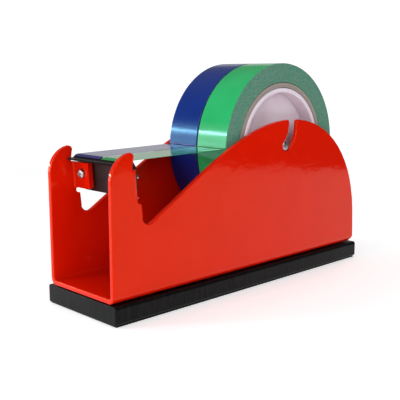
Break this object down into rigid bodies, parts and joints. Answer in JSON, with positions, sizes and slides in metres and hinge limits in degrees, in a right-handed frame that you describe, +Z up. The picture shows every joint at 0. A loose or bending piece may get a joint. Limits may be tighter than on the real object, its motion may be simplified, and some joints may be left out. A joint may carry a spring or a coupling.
{
  "type": "bench tape dispenser",
  "caption": "Folded steel bench dispenser on a weighted slab, with side-by-side tape rolls on hubs that turn on a slotted axle, and a toothed tear blade.",
  "frame": {"origin": "middle of the underside of the mat that the dispenser rests on", "axes": "+X runs from the tear blade to the back, +Y from the near wall to the far wall, +Z up"},
  "size_m": [0.225, 0.065, 0.1416],
  "materials": {
    "red_powder_coat": "gloss",
    "black_powder_coat": "satin",
    "black_rubber": "matte",
    "blackened_steel": "satin",
    "zinc_plated_steel": "satin",
    "white_plastic": "satin",
    "cardboard": "matte",
    "green_tape": "gloss",
    "blue_tape": "gloss"
  },
  "bodies": {
    "stand": {"body_channel": "red_powder_coat", "weight_slab": "black_powder_coat", "anti_slip_mat": "black_rubber", "base_screw_front": "zinc_plated_steel", "base_screw_rear": "zinc_plated_steel", "tear_blade": "blackened_steel", "blade_screw_near": "zinc_plated_steel", "blade_screw_far": "zinc_plated_steel", "blade_nut_near": "zinc_plated_steel", "blade_nut_far": "zinc_plated_steel", "strip_green": "green_tape", "strip_blue": "blue_tape"},
    "axle_set": {"axle": "zinc_plated_steel", "axle_clip_near": "zinc_plated_steel", "axle_clip_far": "zinc_plated_steel"},
    "near_roll": {"hub_near": "white_plastic", "core_near": "cardboard", "tape_roll_green": "green_tape"},
    "far_roll": {"hub_far": "white_plastic", "core_far": "cardboard", "tape_roll_blue": "blue_tape"}
  },
  "joints": [
    {"name": "axle_turn", "type": "hinge", "parent": "stand", "child": "axle_set", "pos_m": [0.0327, 0, 0.088], "axis": [0, 1, 0], "continuous": true},
    {"name": "near_roll_turn", "type": "hinge", "parent": "axle_set", "child": "near_roll", "pos_m": [0.0327, 0, 0.088], "axis": [0, 1, 0], "continuous": true},
    {"name": "far_roll_turn", "type": "hinge", "parent": "axle_set", "child": "far_roll", "pos_m": [0.0327, 0, 0.088], "axis": [0, 1, 0], "continuous": true}
  ]
}
